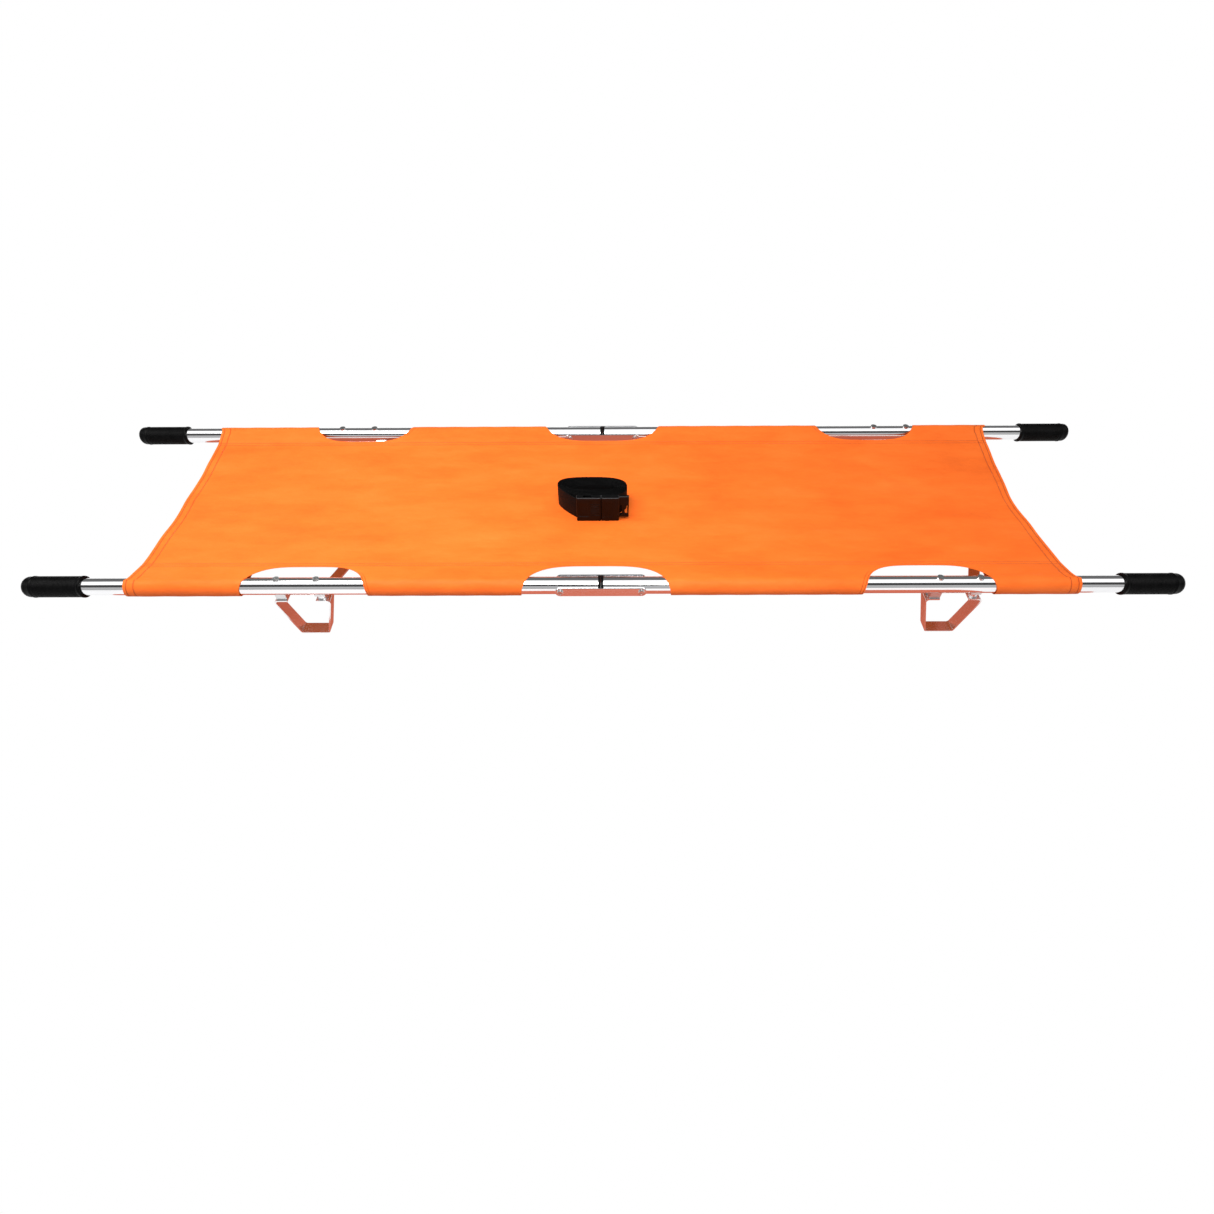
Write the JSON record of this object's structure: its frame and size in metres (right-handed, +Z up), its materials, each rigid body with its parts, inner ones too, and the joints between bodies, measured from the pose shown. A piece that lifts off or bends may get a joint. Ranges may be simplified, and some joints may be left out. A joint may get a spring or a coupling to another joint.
{
  "type": "folding stretcher",
  "caption": "Pole stretcher with hinged poles, D feet, folding spreaders, rubber handles, a canvas bed and a rolled restraint strap.",
  "frame": {"origin": "on the floor, under the middle of the bed", "axes": "+X along the poles towards the right-hand handles, +Y across to the rear pole, +Z up"},
  "size_m": [2.18, 0.5446, 0.183],
  "materials": {
    "polished_aluminium": "polished, fine drawing lines along the tube",
    "strip_aluminium": "bright, bent flat strip",
    "packing_aluminium": "satin",
    "plated_steel": "bright zinc plate",
    "grip_rubber": "satin, ribbed",
    "buffer_rubber": "matt",
    "orange_canvas": "coated woven cloth, soft sheen",
    "black_webbing": "close-woven webbing",
    "buckle_plastic": "moulded, slightly glossy edges"
  },
  "bodies": {
    "front_left_pole": {"front_left_tube": "polished_aluminium", "front_left_grip": "grip_rubber", "front_left_buffer": "buffer_rubber", "front_left_foot": "strip_aluminium", "front_left_bolts": "plated_steel", "front_left_packing": "packing_aluminium", "front_left_nuts": "plated_steel", "front_left_inner_sleeve": "orange_canvas", "front_left_end_sleeve": "orange_canvas", "bed_left": "orange_canvas"},
    "front_right_pole": {"front_right_tube": "polished_aluminium", "front_right_grip": "grip_rubber", "front_right_buffer": "buffer_rubber", "front_right_foot": "strip_aluminium", "front_right_bolts": "plated_steel", "front_right_packing": "packing_aluminium", "front_right_nuts": "plated_steel", "front_right_inner_sleeve": "orange_canvas", "front_right_end_sleeve": "orange_canvas", "bed_right": "orange_canvas"},
    "rear_left_pole": {"rear_left_tube": "polished_aluminium", "rear_left_grip": "grip_rubber", "rear_left_buffer": "buffer_rubber", "rear_left_foot": "strip_aluminium", "rear_left_bolts": "plated_steel", "rear_left_packing": "packing_aluminium", "rear_left_nuts": "plated_steel", "rear_left_inner_sleeve": "orange_canvas", "rear_left_end_sleeve": "orange_canvas"},
    "rear_right_pole": {"rear_right_tube": "polished_aluminium", "rear_right_grip": "grip_rubber", "rear_right_buffer": "buffer_rubber", "rear_right_foot": "strip_aluminium", "rear_right_bolts": "plated_steel", "rear_right_packing": "packing_aluminium", "rear_right_nuts": "plated_steel", "rear_right_inner_sleeve": "orange_canvas", "rear_right_end_sleeve": "orange_canvas"},
    "front_link": {"front_outer_plate": "strip_aluminium", "front_inner_plate": "strip_aluminium", "front_pivots": "plated_steel", "bed_middle": "orange_canvas", "strap_roll": "black_webbing", "buckle_socket": "buckle_plastic"},
    "rear_link": {"rear_outer_plate": "strip_aluminium", "rear_inner_plate": "strip_aluminium", "rear_pivots": "plated_steel"},
    "left_front_arm": {"left_front_arm": "strip_aluminium", "left_knee_rivet": "plated_steel"},
    "left_rear_arm": {"left_rear_arm": "strip_aluminium"},
    "right_front_arm": {"right_front_arm": "strip_aluminium", "right_knee_rivet": "plated_steel"},
    "right_rear_arm": {"right_rear_arm": "strip_aluminium"},
    "buckle_plug": {"buckle_plug": "buckle_plastic"}
  },
  "joints": [
    {"name": "spreader_fold", "type": "hinge", "parent": "front_left_pole", "child": "left_front_arm", "pos_m": [-0.5345, -0.25, 0.099], "axis": [0, 0, -1], "range_deg": [0, 63.95], "deforming": ["bed_left", "bed_middle", "bed_right", "strap_roll", "buckle_socket", "buckle_plug"]},
    {"name": "left_knee", "type": "hinge", "parent": "left_front_arm", "child": "left_rear_arm", "pos_m": [-0.44351, 0, 0.099], "axis": [0, 0, 1], "range_deg": [0, 128]},
    {"name": "rear_pole_swing", "type": "hinge", "parent": "left_rear_arm", "child": "rear_left_pole", "pos_m": [-0.5345, 0.25, 0.099], "axis": [0, 0, -1], "range_deg": [0, 64]},
    {"name": "pole_fold", "type": "hinge", "parent": "front_left_pole", "child": "front_link", "pos_m": [-0.076, -0.25, 0.122], "axis": [0, 1, 0], "range_deg": [0, 90]},
    {"name": "front_right_fold", "type": "hinge", "parent": "front_link", "child": "front_right_pole", "pos_m": [0.076, -0.25, 0.122], "axis": [0, 1, 0], "range_deg": [0, 90]},
    {"name": "rear_link_fold", "type": "hinge", "parent": "rear_left_pole", "child": "rear_link", "pos_m": [-0.076, 0.25, 0.122], "axis": [0, 1, 0], "range_deg": [0, 90]},
    {"name": "rear_right_fold", "type": "hinge", "parent": "rear_link", "child": "rear_right_pole", "pos_m": [0.076, 0.25, 0.122], "axis": [0, 1, 0], "range_deg": [0, 90]},
    {"name": "right_front_arm_swing", "type": "hinge", "parent": "front_right_pole", "child": "right_front_arm", "pos_m": [0.7095, -0.25, 0.099], "axis": [0, 0, -1], "range_deg": [0, 64]},
    {"name": "right_rear_arm_swing", "type": "hinge", "parent": "rear_right_pole", "child": "right_rear_arm", "pos_m": [0.7095, 0.25, 0.099], "axis": [0, 0, 1], "range_deg": [0, 64]},
    {"name": "buckle_release", "type": "slide", "parent": "front_link", "child": "buckle_plug", "axis": [1, 0, 0], "range_m": [0, 0.034]}
  ],
  "couplings": [
    {"joint": "left_knee", "follows": "spreader_fold", "ratio": 2},
    {"joint": "rear_pole_swing", "follows": "spreader_fold", "ratio": 1},
    {"joint": "right_front_arm_swing", "follows": "spreader_fold", "ratio": 1},
    {"joint": "right_rear_arm_swing", "follows": "spreader_fold", "ratio": 1},
    {"joint": "front_right_fold", "follows": "pole_fold", "ratio": 1},
    {"joint": "rear_link_fold", "follows": "pole_fold", "ratio": 1},
    {"joint": "rear_right_fold", "follows": "pole_fold", "ratio": 1}
  ]
}
